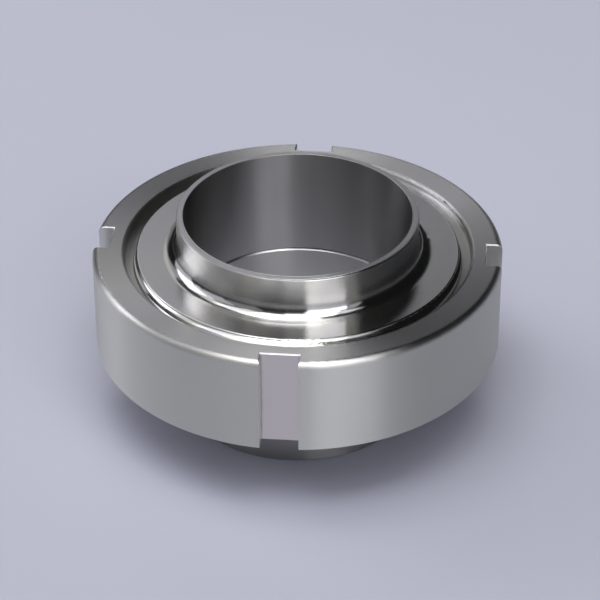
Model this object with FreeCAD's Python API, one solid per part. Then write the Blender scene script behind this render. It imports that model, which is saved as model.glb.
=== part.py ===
import FreeCAD, Part
import math
import os
from FreeCAD import Vector

# A sanitary union for a DN 50 tube: a weld liner, a round slotted nut that turns on the liner,
# a weld male part under them, and a rubber joint ring between liner and male part.
# Millimetres. The origin is on the floor under the common axis, and +Z is up that axis.

# The tube that is welded to both ends
tube_od = 53.0
tube_wall = 1.5
weld_edge_break = 0.3
bore_edge_break = 0.15

# Round thread between male part and nut: six turns to the inch, right-handed
thread_major_d = 78.0
thread_pitch = 25.4 / 6
thread_depth = 2.1
thread_flank_deg = 15.0
thread_crest_flat = 0.1
thread_clearance = 0.2

# The solid that cuts the thread: straight steps in each half round, how far it stands back from the
# wall and runs past the thread's ends, and how near to each other two faces count as touching
thread_steps = 3
tool_back = 0.3
tool_run_out = 0.5
tool_fit = 0.0001

# Male part, from the floor up
male_neck_height = 8.5
male_shoulder_height = 7.0
male_head_height = 12.0
male_neck_fillet = 2.0
male_lip_height = 22.15
lip_width = 1.6
lip_edge_break = 0.35
socket_wall = 2.4
socket_wall_height = 2.6

# Joint ring
ring_width = 5.3
ring_depth = 4.6
ring_lip = 0.2
ring_edge = 0.4
ring_side_clearance = 0.1

# Liner
liner_length = 25.1
spigot_clearance = 0.3
collar_thread_clearance = 0.15
collar_height = 4.6
collar_top_above_foot = 10.5
collar_step = 1.05
plateau_above_foot = 16.1
plateau_edge_round = 0.35
shank_hollow_radius = 2.2
shank_hollow_width = 0.45
shank_hollow_drop = 0.15
neck_fillet = 3.0

# Nut
nut_height = 22.0
nut_top_round = 1.45
nut_bottom_chamfer = 0.2
recess_depth = 3.0
recess_width = 1.8
recess_fillet = 1.6
recess_edge_round = 0.75
flange_thickness = 3.0
nut_hole_clearance = 0.3
undercut_clearance = 0.4
undercut_height = 4.8
slot_count = 4
slot_width = 8.2
slot_depth = 3.7
slot_floor_wall = 1.9
slot_edge_break = 0.25

# Faces that only rest on each other
foot_gap = 0.05
flange_gap = 0.1

# Radii that follow, from the tube outwards and from the thread inwards
neck_r = tube_od / 2
bore_r = neck_r - tube_wall
thread_r = thread_major_d / 2
root_r = thread_r - thread_depth
socket_r = root_r - socket_wall
collar_r = root_r + thread_clearance - collar_thread_clearance
shank_r = collar_r - collar_step
collar_wall_r = shank_r - shank_hollow_width
plateau_r = collar_wall_r - plateau_edge_round
hole_r = shank_r + nut_hole_clearance
recess_r = hole_r + recess_width
undercut_r = thread_r + undercut_clearance
nut_r = undercut_r + slot_floor_wall + slot_depth

# Heights that follow, from the floor up
male_head_z = male_neck_height + male_shoulder_height
male_top_z = male_head_z + male_head_height
socket_cone_z = male_top_z - socket_wall_height
foot_z = male_lip_height + ring_lip + foot_gap
collar_top_z = foot_z + collar_top_above_foot
plateau_z = foot_z + plateau_above_foot
rim_z = foot_z + liner_length
flange_bottom_z = collar_top_z + flange_gap
recess_floor_z = flange_bottom_z + flange_thickness
nut_top_z = recess_floor_z + recess_depth
nut_bottom_z = nut_top_z - nut_height


def at(r, z):
    """A point of a profile, in the plane that is turned about the axis."""
    return Vector(r, 0, z)


def line(*points):
    """Straight edges through profile points, given as (radius, height)."""
    places = [at(*p) for p in points]
    return [Part.LineSegment(a, b).toShape() for a, b in zip(places, places[1:])]


def arc(start, centre, radius, middle_deg, end):
    """One round stretch: its middle lies at middle_deg seen from the centre, 0 outwards and 90 up."""
    turn = math.radians(middle_deg)
    middle = (centre[0] + radius * math.cos(turn), centre[1] + radius * math.sin(turn))
    return [Part.Arc(at(*start), at(*middle), at(*end)).toShape()]


def turned(edges):
    """The closed profile, turned once round the axis."""
    face = Part.Face(Part.Wire(edges))
    return face.revolve(Vector(0, 0, 0), Vector(0, 0, 1), 360)


def thread_wall(way, clearance):
    """Radius of the plain wall that a thread is cut into: way is -1 inwards and 1 outwards."""
    return (root_r if way > 0 else thread_r) + clearance + way * thread_crest_flat


def thread_tool(way, clearance, from_z, to_z):
    """The helical groove of the round thread as a solid, to be cut out of a plain wall.

    It points inwards for the male head, or outwards for the nut. Its tip and its foot are rounds
    that the straight flanks touch, drawn in short straight steps. The male part's crests cross the
    +X plane at its top and at every pitch below, and the nut's grooves lie round those crests.
    """
    half = thread_pitch / 2
    flank = math.radians(thread_flank_deg)
    round_r = (half * math.cos(flank) - thread_depth * math.sin(flank)) / (2 - 2 * math.sin(flank))
    crest_x, hollow_x = thread_r - round_r, root_r + round_r
    tip_x, foot_x = (crest_x, hollow_x) if way > 0 else (hollow_x, crest_x)
    tip_r, foot_r = round_r + way * clearance, round_r - way * clearance
    wall_r = thread_wall(way, clearance)
    touch = math.pi / 2 - flank
    foot = math.acos((foot_r - thread_crest_flat) / foot_r)
    tip_turns = [touch * (2 * i + 1) / (2 * thread_steps - 1) for i in range(thread_steps)]
    foot_turns = [touch + (foot - touch) * i / (thread_steps - 1) for i in range(thread_steps)]
    upper = [(tip_x + way * tip_r * math.cos(t), tip_r * math.sin(t)) for t in tip_turns]
    upper += [(foot_x - way * foot_r * math.cos(t), half - foot_r * math.sin(t)) for t in foot_turns]
    upper.append((wall_r - way * tool_back, upper[-1][1]))
    points = upper + [(r, -z) for r, z in reversed(upper)]
    middle_z = male_top_z if way > 0 else male_top_z - half
    start_z = middle_z - thread_pitch * math.ceil((middle_z - from_z) / thread_pitch + 1)
    section = Part.makePolygon([at(r, z + start_z) for r, z in points + points[:1]])
    helix = Part.makeHelix(thread_pitch, to_z + thread_pitch - start_z, thread_r)
    helix.translate(Vector(0, 0, start_z))
    sweep = Part.BRepOffsetAPI.MakePipeShell(Part.Wire(helix.Edges))
    sweep.setFrenetMode(True)
    sweep.add(section)
    sweep.build()
    sweep.makeSolid()
    inner, outer = root_r - thread_depth, thread_r + thread_depth
    band = turned(line((inner, from_z), (outer, from_z), (outer, to_z), (inner, to_z), (inner, from_z)))
    return sweep.shape().common([band], tool_fit)


def male_part():
    """Threaded half: weld neck, shoulder, threaded head, and inside it the seat of the joint ring."""
    head_r = thread_wall(-1, 0)
    bevel = head_r - root_r
    groove_in = bore_r + lip_width
    groove_out = groove_in + ring_width + 2 * ring_side_clearance
    groove_floor = male_lip_height - ring_depth
    f = male_neck_fillet
    shoulder_z = male_neck_height
    profile = line((bore_r, 0), (neck_r - weld_edge_break, 0), (neck_r, weld_edge_break),
                   (neck_r, shoulder_z - f))
    profile += arc((neck_r, shoulder_z - f), (neck_r + f, shoulder_z - f), f, 135, (neck_r + f, shoulder_z))
    profile += line((neck_r + f, shoulder_z), (root_r, male_head_z), (head_r, male_head_z + bevel),
                    (head_r, male_top_z - bevel), (root_r, male_top_z), (socket_r, male_top_z),
                    (socket_r, socket_cone_z),
                    (groove_out, socket_cone_z - (socket_r - groove_out)), (groove_out, groove_floor),
                    (groove_in, groove_floor), (groove_in, male_lip_height),
                    (bore_r + lip_edge_break, male_lip_height), (bore_r, male_lip_height - lip_edge_break),
                    (bore_r, 0))
    groove = thread_tool(-1, 0, male_head_z - tool_run_out, male_top_z + tool_run_out)
    return turned(profile).cut([groove], tool_fit)


def joint_ring():
    """Rubber ring in the male part's groove, with a thin collar that reaches in to the bore."""
    inner = bore_r + lip_width + ring_side_clearance
    outer = inner + ring_width
    floor_z = male_lip_height - ring_depth
    top_z = male_lip_height + ring_lip
    collar_r = bore_r + lip_edge_break
    return turned(line((collar_r, male_lip_height), (inner, male_lip_height), (inner, floor_z),
                       (outer, floor_z), (outer, top_z - ring_edge), (outer - ring_edge, top_z),
                       (collar_r, top_z), (collar_r, male_lip_height)))


def liner():
    """Plain half: weld neck, flat collar just under the nut's top, shank, and the foot on the ring."""
    spigot_r = socket_r - spigot_clearance
    foot_r = spigot_r - (socket_cone_z - foot_z)
    collar_z = collar_top_z - collar_height
    hollow = (collar_wall_r + shank_hollow_radius, plateau_z - shank_hollow_drop - plateau_edge_round)
    turn = math.acos((hollow[0] - shank_r) / shank_hollow_radius)
    hollow_end = (shank_r, hollow[1] - shank_hollow_radius * math.sin(turn))
    f, e = neck_fillet, plateau_edge_round
    profile = line((bore_r + bore_edge_break, foot_z), (foot_r, foot_z), (spigot_r, socket_cone_z),
                   (spigot_r, collar_z), (collar_r, collar_z), (collar_r, collar_top_z),
                   (shank_r, collar_top_z), hollow_end)
    profile += arc(hollow_end, hollow, shank_hollow_radius, 180 + math.degrees(turn) / 2,
                   (collar_wall_r, hollow[1]))
    profile += line((collar_wall_r, hollow[1]), (collar_wall_r, plateau_z - e))
    profile += arc((collar_wall_r, plateau_z - e), (plateau_r, plateau_z - e), e, 45, (plateau_r, plateau_z))
    profile += line((plateau_r, plateau_z), (neck_r + f, plateau_z))
    profile += arc((neck_r + f, plateau_z), (neck_r + f, plateau_z + f), f, 225, (neck_r, plateau_z + f))
    profile += line((neck_r, plateau_z + f), (neck_r, rim_z - weld_edge_break), (neck_r - weld_edge_break, rim_z),
                    (bore_r, rim_z), (bore_r, foot_z + bore_edge_break), (bore_r + bore_edge_break, foot_z))
    return turned(profile)


def slot_outline(grow, z):
    """Closed outline of a spanner slot on +X at a height, wider and deeper by the given growth."""
    half, floor_x, far_x = slot_width / 2 + grow, nut_r - slot_depth - grow, nut_r + slot_depth
    corners = [(floor_x, -half), (far_x, -half), (far_x, half), (floor_x, half), (floor_x, -half)]
    return Part.makePolygon([Vector(x, y, z) for x, y in corners])


def slot_cutter():
    """One spanner slot, with its edges broken where it meets the nut's outer wall and flat top."""
    slot = Part.Face(slot_outline(0, nut_bottom_z)).extrude(Vector(0, 0, nut_height))
    top = Part.makeLoft([slot_outline(0, nut_top_z - slot_edge_break),
                         slot_outline(slot_edge_break, nut_top_z)], True, True)
    half, flare_x, reach = slot_width / 2, nut_r - slot_edge_break, 2 * slot_edge_break
    flare = [(flare_x, -half), (flare_x + reach, -half - reach), (flare_x + reach, half + reach),
             (flare_x, half), (flare_x, -half)]
    side = Part.Face(Part.makePolygon([Vector(x, y, nut_bottom_z) for x, y in flare]))
    return slot.fuse([top, side.extrude(Vector(0, 0, nut_height))])


def nut():
    """Round slotted nut: a rim, a recess round the liner's collar, an inner flange and the thread."""
    thread_bore_r = thread_wall(1, thread_clearance)
    undercut_z = flange_bottom_z - undercut_height
    lead = undercut_r - thread_bore_r
    flat_r = recess_r + recess_edge_round
    o, c, e, f = nut_top_round, nut_bottom_chamfer, recess_edge_round, recess_fillet
    profile = line((undercut_r, nut_bottom_z), (nut_r - c, nut_bottom_z), (nut_r, nut_bottom_z + c),
                   (nut_r, nut_top_z - o))
    profile += arc((nut_r, nut_top_z - o), (nut_r - o, nut_top_z - o), o, 45, (nut_r - o, nut_top_z))
    profile += line((nut_r - o, nut_top_z), (flat_r, nut_top_z))
    profile += arc((flat_r, nut_top_z), (flat_r, nut_top_z - e), e, 135, (recess_r, nut_top_z - e))
    profile += line((recess_r, nut_top_z - e), (recess_r, recess_floor_z + f))
    profile += arc((recess_r, recess_floor_z + f), (recess_r - f, recess_floor_z + f), f, -45,
                   (recess_r - f, recess_floor_z))
    profile += line((recess_r - f, recess_floor_z), (hole_r, recess_floor_z), (hole_r, flange_bottom_z),
                    (undercut_r, flange_bottom_z), (undercut_r, undercut_z), (thread_bore_r, undercut_z - lead),
                    (thread_bore_r, nut_bottom_z + lead), (undercut_r, nut_bottom_z))
    groove = thread_tool(1, thread_clearance, nut_bottom_z - tool_run_out, undercut_z + tool_run_out)
    body = turned(profile).cut([groove], tool_fit)
    cutter = slot_cutter()
    for i in range(slot_count):
        body = body.cut(cutter.rotated(Vector(0, 0, 0), Vector(0, 0, 1), 360 * i / slot_count))
    return body


os.makedirs("parts", exist_ok=True)
for name, make in (("male_part", male_part), ("joint_ring", joint_ring), ("liner", liner), ("slotted_nut", nut)):
    shape = make()
    shape.exportStep("parts/" + name + ".step")
    print(name, shape.isValid(), len(shape.Solids), round(shape.Volume, 1))
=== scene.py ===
import bmesh
import bpy
import math
from mathutils import Matrix, Vector

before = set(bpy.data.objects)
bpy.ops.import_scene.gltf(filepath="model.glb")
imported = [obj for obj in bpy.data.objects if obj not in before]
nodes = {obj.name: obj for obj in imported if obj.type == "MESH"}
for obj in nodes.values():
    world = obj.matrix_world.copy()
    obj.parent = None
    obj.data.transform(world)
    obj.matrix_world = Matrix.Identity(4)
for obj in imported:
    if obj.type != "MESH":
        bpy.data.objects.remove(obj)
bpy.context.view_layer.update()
print("frame loaded:", sorted(nodes))

mm = 0.001


# One shader socket, so that shader maths reads like plain arithmetic
class Flow:
    def __init__(self, paint, socket):
        self.paint = paint
        self.socket = socket

    def maths(self, operation, *others):
        return self.paint.add("Math", {"operation": operation}, dict(enumerate((self, *others))))

    def __add__(self, other):
        return self.maths("ADD", other)

    __radd__ = __add__

    def __sub__(self, other):
        return self.maths("SUBTRACT", other)

    def __rsub__(self, other):
        return self.maths("MULTIPLY", -1).maths("ADD", other)

    def __mul__(self, other):
        return self.maths("MULTIPLY", other)

    __rmul__ = __mul__

    def squareRoot(self):
        return self.maths("SQRT")

    def size(self):
        return self.maths("ABSOLUTE")

    def least(self, other):
        return self.maths("MINIMUM", other)

    def most(self, other):
        return self.maths("MAXIMUM", other)

    # The first end at low and before it, the second at high and past it, smooth in between
    def ramp(self, low, high, ends=(0, 1)):
        values = dict(enumerate((self, low, high, *ends)))
        return self.paint.add("MapRange", {"interpolation_type": "SMOOTHSTEP"}, values)

    # 1 at the place, falling to 0 at the reach from it
    def near(self, place, reach):
        return (self - place).size().ramp(reach, 0)


# A material under construction: every node comes from add. Place, x, y, z and the radius
# from the union's axis say where the surface is, in millimetres.
class Paint:
    def __init__(self, name):
        self.material = bpy.data.materials.new(name)
        self.material.use_nodes = True
        self.tree = self.material.node_tree
        self.tree.nodes.clear()
        metres = self.add("TexCoord", out="Object")
        self.place = self.add("VectorMath", {"operation": "SCALE"}, {0: metres, "Scale": 1 / mm})
        self.x, self.y, self.z = [self.add("SeparateXYZ", None, {0: self.place}, out) for out in range(3)]
        self.radius = (self.x * self.x + self.y * self.y).squareRoot()

    def add(self, kind, settings=None, values=None, out=0):
        node = self.tree.nodes.new("ShaderNode" + kind)
        for key, value in (settings or {}).items():
            setattr(node, key, value)
        for key, value in (values or {}).items():
            if isinstance(value, Flow):
                self.tree.links.new(value.socket, node.inputs[key])
            else:
                node.inputs[key].default_value = value
        return Flow(self, node.outputs[out]) if node.outputs else None

    def vector(self, x, y, z):
        return self.add("CombineXYZ", None, {0: x, 1: y, 2: z})

    # Noise around 0, of size about 1
    def noise(self, vector, scale, detail, roughness=0.5):
        values = {"Vector": vector, "Scale": scale, "Detail": detail, "Roughness": roughness}
        return self.add("TexNoise", None, values) * 2 - 1

    # The colour sockets of a Mix node are its inputs 6 and 7 and its output 2
    def mix(self, factor, first, second):
        values = {0: factor}
        for key, colour in ((6, first), (7, second)):
            values[key] = colour if isinstance(colour, Flow) else (*colour, 1)
        return self.add("Mix", {"data_type": "RGBA"}, values, 2)

    # The surface raised by a height in millimetres
    def bump(self, height):
        return self.add("Bump", None, {"Height": height, "Distance": mm, "Strength": 1.0})

    # The finished material, from the values of its surface
    def finish(self, values):
        self.add("OutputMaterial", None, {"Surface": self.add("BsdfPrincipled", None, values)})
        return self.material


# The unit vector that points to an azimuth, from +X towards +Y, and an elevation
def direction(azimuth, elevation):
    flat = math.cos(elevation)
    return Vector((flat * math.cos(azimuth), flat * math.sin(azimuth), math.sin(elevation)))


view = {
    "imageSide": 600,
    "targetHeight": 39.0 * mm,      # the point on the axis that shows at the target pixel
    "targetPixel": (297.9, 245.9),  # from the picture's top left corner
    "elevation": math.radians(32.73),
    "azimuth": math.radians(-84.8),
    "distance": 548.0 * mm,
    "focalPixels": 2498.0,
    "roll": math.radians(-0.16),
    "sensor": 36.0,
    "clipStart": 10.0 * mm,
    "clipEnd": 20.0,
}


def makeCamera():
    data = bpy.data.cameras.new("camera")
    data.sensor_width = view["sensor"]
    data.lens = view["focalPixels"] * view["sensor"] / view["imageSide"]
    data.clip_start = view["clipStart"]
    data.clip_end = view["clipEnd"]
    camera = bpy.data.objects.new("camera", data)
    bpy.context.scene.collection.objects.link(camera)
    away = direction(view["azimuth"], view["elevation"])
    place = Vector((0, 0, view["targetHeight"])) + away * view["distance"]
    middle = view["imageSide"] / 2
    right = view["targetPixel"][0] - middle
    up = middle - view["targetPixel"][1]
    seen = Vector((right, up, -view["focalPixels"])).normalized()
    turn = (-away).to_track_quat("-Z", "Y") @ seen.rotation_difference(Vector((0, 0, -1)))
    roll = Matrix.Rotation(view["roll"], 3, "Z")
    camera.matrix_world = Matrix.Translation(place) @ (turn.to_matrix() @ roll).to_4x4()
    bpy.context.scene.camera = camera


makeCamera()
print("camera ready")

room = {
    "floorSize": 6.0,
    "floorColour": (0.500, 0.512, 0.575),
    "floorShade": (0.490, 0.502, 0.565),
    "floorFrontShade": (0.440, 0.451, 0.512),
    "floorReach": (-110, 150),      # y in millimetres, from the painted shade at the front to the plain colour
    "floorRoughness": 0.6,
    "cloud": (0.012, 3.0),          # scale and detail of a noise
    "cloudSpread": (-0.5, 0.5),
    "worldColour": (0.9, 0.95, 1.0),
    "worldLevel": 0.01,
    "middle": (0, 0, 30 * mm),      # what the lamps stand round
    "lampDistance": 2.2,
    "ceilingHeight": 2.2,
    "lampPower": 4.0,               # watts a square metre at a level of 1
}

# Every lamp is a plain rectangle. The levels were fitted to how bright the photo's steel and floor
# are, and some were then changed. A level of 1 shows as white in a mirror.
white = (1.0, 1.0, 1.0)
cool = (0.985, 0.985, 1.100)

# The walls of the room, as angles in degrees that are seen from the object
wallLamps = [
    {"name": "backRight", "azimuth": (82, 94), "elevation": (27, 39), "level": 0.21, "colour": cool},
    {"name": "back", "azimuth": (94, 106), "elevation": (27, 39), "level": 0.36, "colour": cool},
    {"name": "backSide", "azimuth": (106, 121), "elevation": (27, 39), "level": 0.55, "colour": white},
    {"name": "backFarSide", "azimuth": (121, 140), "elevation": (27, 39), "level": 0.33, "colour": cool},
    {"name": "backHigh", "azimuth": (92, 112), "elevation": (39, 51), "level": 0.70, "colour": cool},
    {"name": "backLowRight", "azimuth": (81, 95), "elevation": (14, 27), "level": 0.31, "colour": cool},
    {"name": "backLowSide", "azimuth": (107, 119), "elevation": (14, 27), "level": 0.17, "colour": cool},
    {"name": "left", "azimuth": (143, 171), "elevation": (22, 46), "level": 2.27, "colour": cool},
    {"name": "leftHigh", "azimuth": (143, 182), "elevation": (46, 60), "level": 0.72, "colour": white},
    {"name": "leftLow", "azimuth": (143, 171), "elevation": (4, 22), "level": 0.55, "colour": cool},
    {"name": "leftSide", "azimuth": (171, 182), "elevation": (20, 46), "level": 0.74, "colour": cool},
    {"name": "right", "azimuth": (283, 321), "elevation": (24, 46), "level": 2.15, "colour": cool},
    {"name": "rightHigh", "azimuth": (283, 321), "elevation": (46, 58), "level": 1.92, "colour": cool},
    {"name": "rightLow", "azimuth": (283, 321), "elevation": (8, 24), "level": 0.30, "colour": cool},
    {"name": "rightTail", "azimuth": (321, 334), "elevation": (20, 48), "level": 0.38, "colour": white},
    {"name": "frontFarLeft", "azimuth": (182, 208), "elevation": (20, 46), "level": 0.51, "colour": cool},
    {"name": "frontLeft", "azimuth": (208, 240), "elevation": (20, 46), "level": 0.22, "colour": cool},
    {"name": "frontHighLeft", "azimuth": (182, 208), "elevation": (46, 57), "level": 0.13, "colour": white},
]

# The ceiling, as stretches of x and y for each metre of height
ceilingLamps = [
    {"name": "ceilingFarLeft", "x": (-0.68, -0.38), "y": (-0.56, -0.16), "level": 0.96, "colour": white},
    {"name": "ceilingLeft", "x": (-0.68, -0.38), "y": (-0.16, 0.25), "level": 1.35, "colour": cool},
    {"name": "ceilingMiddleLeft", "x": (-0.38, -0.12), "y": (-0.56, -0.16), "level": 3.93, "colour": cool},
    {"name": "ceilingBackLeft", "x": (-0.38, -0.12), "y": (-0.16, 0.24), "level": 3.25, "colour": white},
    {"name": "ceilingFront", "x": (-0.12, 0.12), "y": (-0.88, -0.50), "level": 1.62, "colour": cool},
    {"name": "ceilingBright", "x": (-0.12, 0.12), "y": (-0.50, -0.16), "level": 4.04, "colour": cool},
    {"name": "ceilingMiddle", "x": (-0.12, 0.12), "y": (-0.16, 0.20), "level": 3.27, "colour": white},
    {"name": "ceilingFrontRight", "x": (0.12, 0.36), "y": (-0.85, -0.45), "level": 1.26, "colour": white},
    {"name": "ceilingRight", "x": (0.12, 0.36), "y": (-0.45, -0.10), "level": 4.81, "colour": white},
    {"name": "ceilingFarRight", "x": (0.36, 0.65), "y": (-0.45, 0.00), "level": 0.95, "colour": cool},
]


def floorPaint():
    paint = Paint("floorPaint")
    cloud = paint.noise(paint.place, *room["cloud"]).ramp(*room["cloudSpread"])
    plain = paint.mix(cloud, room["floorShade"], room["floorColour"])
    # Painted shade: the floor is darker towards the front
    colour = paint.mix(paint.y.ramp(*room["floorReach"]), room["floorFrontShade"], plain)
    return paint.finish({"Base Color": colour, "Roughness": room["floorRoughness"]})


def makeFloor():
    bm = bmesh.new()
    bmesh.ops.create_grid(bm, x_segments=2, y_segments=2, size=room["floorSize"] / 2)
    mesh = bpy.data.meshes.new("floor")
    bm.to_mesh(mesh)
    bm.free()
    floor = bpy.data.objects.new("floor", mesh)
    bpy.context.scene.collection.objects.link(floor)
    mesh.materials.append(floorPaint())


def makeWorld():
    world = bpy.data.worlds.new("world")
    bpy.context.scene.world = world
    world.use_nodes = True
    background = world.node_tree.nodes["Background"]
    background.inputs["Color"].default_value = (*room["worldColour"], 1)
    background.inputs["Strength"].default_value = room["worldLevel"]


def makeLamp(lamp, place, width, height):
    data = bpy.data.lights.new(lamp["name"], "AREA")
    data.shape = "RECTANGLE"
    data.size = width
    data.size_y = height
    data.color = lamp["colour"]
    data.energy = room["lampPower"] * width * height * lamp["level"]
    box = bpy.data.objects.new(lamp["name"], data)
    box.visible_camera = False
    bpy.context.scene.collection.objects.link(box)
    box.matrix_world = Matrix.Translation(Vector(room["middle"])) @ place


def makeWallLamp(lamp):
    distance = room["lampDistance"]
    azimuth, elevation = [math.radians(sum(lamp[key]) / 2) for key in ("azimuth", "elevation")]
    across, upright = [math.radians(lamp[key][1] - lamp[key][0]) for key in ("azimuth", "elevation")]
    away = direction(azimuth, elevation)
    turn = away.to_track_quat("Z", "Y").to_matrix().to_4x4()
    sides = [2 * distance * math.tan(angle / 2) for angle in (across * math.cos(elevation), upright)]
    makeLamp(lamp, Matrix.Translation(away * distance) @ turn, *sides)


def makeCeilingLamp(lamp):
    height = room["ceilingHeight"]
    spans = [[height * value for value in lamp[key]] for key in ("x", "y")]
    centre = Vector([sum(span) / 2 for span in spans] + [height])
    makeLamp(lamp, Matrix.Translation(centre), *[span[1] - span[0] for span in spans])


makeFloor()
makeWorld()
for wallLamp in wallLamps:
    makeWallLamp(wallLamp)
for ceilingLamp in ceilingLamps:
    makeCeilingLamp(ceilingLamp)
print("room ready:", len(wallLamps) + len(ceilingLamps), "lamps")

# Turned stainless steel, lengths in millimetres. Line, swell, smudge and grit are noises:
# a scale, a detail and sometimes a roughness.
turned = {
    "colour": (0.600, 0.592, 0.558),
    "shade": (0.540, 0.536, 0.512),
    "toneMiddle": 0.5,
    "toneLines": 0.35,
    "toneSmudges": 0.6,
    "roughSpread": 0.03,
    "roughLines": 0.4,
    "anisotropy": 1.0,
    "anisotropyTurn": 0.25,         # a quarter turn spreads the sheen across the tool's lines
    "line": (2.6, 4.0),             # what the tool left
    "lineDepth": 0.0006,
    "swell": (0.35, 1.0),
    "swellDepth": 0.003,
    "smudge": (0.06, 4.0, 0.6),     # what hands left
    "grit": (1.5, 3.0, 0.6),
    "gritDepth": 0.01,
    # The worn colour is wear on edges and scars, painted lighter as painted highlights
    "wearAndHighlight": (0.800, 0.795, 0.765),
    "wearAndHighlightShare": 0.8,
    "wornRoughness": 0.34,
    "wornRoughShare": 0.6,
    "wornReach": (0.18, 0.05),      # distances from an edge, from no wear to full wear
    "wornSpread": 0.1,              # how ragged the wear's border is
}


# Shared by the three steel pieces. Edges are (radius, height) pairs, stain is where the piece gets painted
# light and shade, with the slot's own tint, scars is where it is damaged, and form is a height in
# millimetres.
def steelPaint(paint, roughness, edges, tintAndPaintedLight, tintAndPaintedLightColour, scars=0, form=0):
    ring = paint.vector(paint.radius, paint.z, 0)
    line = paint.noise(ring, *turned["line"])
    swell = paint.noise(ring, *turned["swell"])
    smudge = paint.noise(paint.place, *turned["smudge"])
    grit = paint.noise(paint.place, *turned["grit"])
    # Worn edges and scars: wear, with a lighter colour that is a painted highlight
    wearAndHighlight = scars
    for edgeRadius, edgeHeight in edges:
        across = paint.radius - edgeRadius
        along = paint.z - edgeHeight
        away = (across * across + along * along).squareRoot() + grit * turned["wornSpread"]
        wearAndHighlight = away.ramp(*turned["wornReach"]).most(wearAndHighlight)
    tone = (line * turned["toneLines"] + smudge * turned["toneSmudges"] + turned["toneMiddle"]).ramp(0, 1)
    # Painted light and shade, and the slot's tint, laid over the turned steel's tone
    plain = paint.mix(tintAndPaintedLight, paint.mix(tone, turned["shade"], turned["colour"]), tintAndPaintedLightColour)
    rough = roughness + turned["roughSpread"] * (smudge + line * turned["roughLines"])
    height = line * turned["lineDepth"] + swell * turned["swellDepth"] + grit * scars * turned["gritDepth"]
    return paint.finish({
        "Base Color": paint.mix(wearAndHighlight * turned["wearAndHighlightShare"], plain, turned["wearAndHighlight"]),
        "Metallic": 1.0,
        "Roughness": rough + (turned["wornRoughness"] - rough) * wearAndHighlight * turned["wornRoughShare"],
        "Normal": paint.bump(height + form),
        "Anisotropic": turned["anisotropy"],
        "Anisotropic Rotation": turned["anisotropyTurn"],
    })


def wear(name, material):
    mesh = nodes[name].data
    mesh.materials.clear()
    mesh.materials.append(material)
    print("painted:", name)


# Pairs are where one finish ends and the next is full, as heights or radii in millimetres
liner = {
    "neck": 0.23,                   # roughness of each face
    "collar": 0.12,
    "bore": 0.30,
    "neckFoot": (39.8, 40.6),
    "rim": (47.45, 47.4),
    "boreWall": (25.2, 25.1),
    "neckWall": (26.2, 26.4),
    # The bore's colours are painted light and shade: darker steel inside the tube, lighter on one side,
    # with painted reflection streaks
    "borePaintedLight": (0.50, 0.495, 0.482),
    "borePaintedShade": (0.385, 0.381, 0.370),
    "band": (-14.0, 20.7),          # x and y of the painted light on one side of the bore
    "bandReach": 30.0,
    "paintedStreak": (0.22, 3.0),          # the noise of painted reflection streaks along the bore
    "paintedStreakShare": 0.3,
    "flareHeight": 43.8,            # the neck flares above this
    "flare": 0.018,
    "side": (34.0, 34.5),
    "sideTop": 38.2,                # the collar's side slopes below this
    "sideSlope": 1.2,
    "edges": ((26.5, 47.5), (25.0, 47.5), (35.1, 38.5)),
}


def linerPaint():
    paint = Paint("linerSteel")
    onNeck = paint.z.ramp(*liner["neckFoot"]) * paint.z.ramp(*liner["rim"])
    inBore = paint.radius.ramp(*liner["boreWall"])
    outside = liner["collar"] + (liner["neck"] - liner["collar"]) * onNeck
    roughness = outside + (liner["bore"] - outside) * inBore
    across = paint.x - liner["band"][0]
    along = paint.y - liner["band"][1]
    fromPaintedBand = (across * across + along * along).squareRoot()
    # Painted light and shade in the bore: a lighter side and painted reflection streaks on darker steel
    paintedStreak = paint.noise(paint.vector(paint.x, paint.y, 0), *liner["paintedStreak"])
    paintedBoreLight = fromPaintedBand.ramp(liner["bandReach"], 0) + paintedStreak * liner["paintedStreakShare"]
    borePaintedLight = paint.mix(paintedBoreLight, liner["borePaintedShade"], liner["borePaintedLight"])
    above = (paint.z - liner["flareHeight"]).most(0)
    below = (liner["sideTop"] - paint.z).most(0)
    flare = above * above * liner["flare"]
    side = below * liner["sideSlope"] * paint.radius.ramp(*liner["side"])
    form = paint.radius.ramp(*liner["neckWall"]) * (flare + side)
    return steelPaint(paint, roughness, liner["edges"], inBore, borePaintedLight, form=form)


wear("liner", linerPaint())

# Slot, burr and painted shade pairs are distances from a slot's side or floor, and the others are radii
nut = {
    "wall": 0.33,                   # roughness of each face
    "flat": 0.26,
    "recess": 0.36,
    "slot": 0.25,
    "rounding": (43.6, 44.6),       # from the top's finish to the wall's
    "wallStart": (44.2, 44.6),
    "recessEnd": (38.6, 38.3),
    "slotHalf": 4.1,                # from a slot's middle to its side
    "slotFloor": 41.3,              # from the union's middle to the slot's floor
    "slotSide": (0.02, 0.0),
    "slotDepth": (-0.15, -0.05),
    # The wall is painted lighter than the rest of the steel, a painted sheen
    "wallPaintedSheen": (0.645, 0.640, 0.580),
    # The slot's colour is its pinkish tint, painted lighter as painted light
    "slotTintAndLight": (0.73, 0.675, 0.64),
    "slotSideShade": (0.22, 0.20, 0.20),
    "shadeSide": (-0.35, -0.1),
    "shadeSpread": 0.08,             # how ragged the painted shade's border is
    "shadeShare": 0.8,
    "grit": (2.5, 3.0, 0.7),
    "burrDepth": (-0.3, 0.0),
    "burrReach": 0.2,
    "burrSpread": 0.18,
    "lipReach": 0.45,               # how far below the top the slot's lip is worn
    "lipSpread": 0.5,
    "top": 39.0,
    "cove": 0.24,                   # how fast the recess wall's slope grows downwards
    "edges": ((44.9, 17.1),),
}


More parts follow.
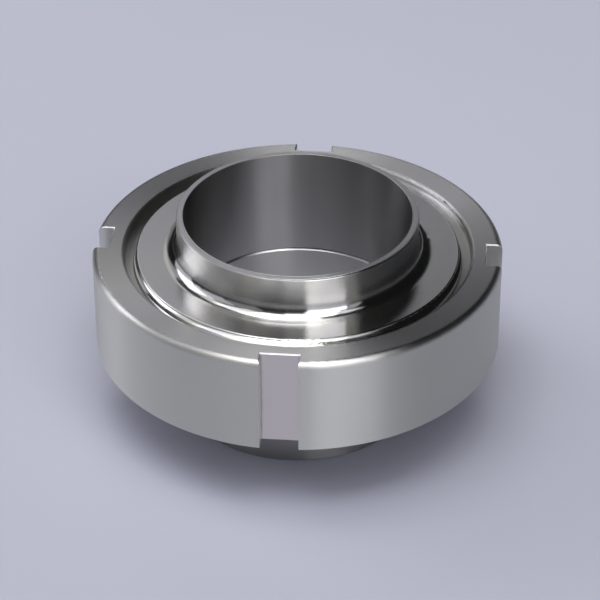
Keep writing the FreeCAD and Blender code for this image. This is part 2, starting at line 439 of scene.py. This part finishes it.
# The four slots are where the smaller of |x| and |y| is under half a slot's width
def nutPaint():
    paint = Paint("nutSteel")
    along = paint.x.size()
    across = paint.y.size()
    beside = along.least(across) - nut["slotHalf"]
    out = along.most(across) - nut["slotFloor"]
    inSlot = beside.ramp(*nut["slotSide"]) * out.ramp(*nut["slotDepth"])
    inRecess = paint.radius.ramp(*nut["recessEnd"])
    topAndWall = paint.radius.ramp(*nut["rounding"], (nut["flat"], nut["wall"]))
    turnedFaces = topAndWall + (nut["recess"] - topAndWall) * inRecess
    roughness = turnedFaces + (nut["slot"] - turnedFaces) * inSlot
    grit = paint.noise(paint.place, *nut["grit"])
    # Burrs and the slot's worn lip: real damage, painted lighter as painted highlights through the worn
    # colour
    burr = (beside + grit * nut["burrSpread"]).near(0, nut["burrReach"]) * out.ramp(*nut["burrDepth"])
    lip = (paint.z + grit * nut["lipSpread"]).near(nut["top"], nut["lipReach"]) * inSlot
    # Painted shade along the slot's sides and into its corners
    sideShade = (beside + grit * nut["shadeSpread"]).ramp(*nut["shadeSide"])
    slotLightAndShade = paint.mix(sideShade * nut["shadeShare"], nut["slotTintAndLight"], nut["slotSideShade"])
    # Painted sheen on the nut's wall, painted light and shade in its slots
    tintAndPaintedLight = paint.radius.ramp(*nut["wallStart"]).most(inSlot)
    tintAndPaintedLightColour = paint.mix(inSlot, nut["wallPaintedSheen"], slotLightAndShade)
    below = (nut["top"] - paint.z).most(0)
    form = below * below * nut["cove"] * inRecess
    return steelPaint(paint, roughness, nut["edges"], tintAndPaintedLight, tintAndPaintedLightColour, burr.most(lip), form)


wear("slotted_nut", nutPaint())

male = {
    "roughness": 0.3,
    # The outside's colour is painted shade: darker steel where the part stands under the nut
    "colour": (0.47, 0.462, 0.435),
    "paintedShadeShare": 0.8,
    "outside": (25.3, 26.0),        # radii, from the bore's own colour to the outside's painted shade
    "edges": ((26.5, 0.0), (25.0, 22.0)),
}


def malePaint():
    paint = Paint("maleSteel")
    tintAndPaintedLight = paint.radius.ramp(*male["outside"]) * male["paintedShadeShare"]
    return steelPaint(paint, male["roughness"], male["edges"], tintAndPaintedLight, male["colour"])


wear("male_part", malePaint())

rubber = {
    "colour": (0.020, 0.020, 0.021),
    "dustColour": (0.045, 0.044, 0.043),
    "dust": (0.3, 3.0),             # scale and detail of a noise
    "dustSpread": (0.0, 0.8),
    "roughness": 0.55,
    "roughSpread": 0.1,
    "grain": (4.0, 3.0),
    "grainDepth": 0.02,
}


def rubberPaint():
    paint = Paint("rubber")
    grain = paint.noise(paint.place, *rubber["grain"])
    dust = paint.noise(paint.place, *rubber["dust"]).ramp(*rubber["dustSpread"])
    return paint.finish({
        "Base Color": paint.mix(dust, rubber["colour"], rubber["dustColour"]),
        "Roughness": rubber["roughness"] + rubber["roughSpread"] * grain,
        "Normal": paint.bump(grain * rubber["grainDepth"]),
    })


wear("joint_ring", rubberPaint())

bpy.context.scene.view_settings.view_transform = "Standard"
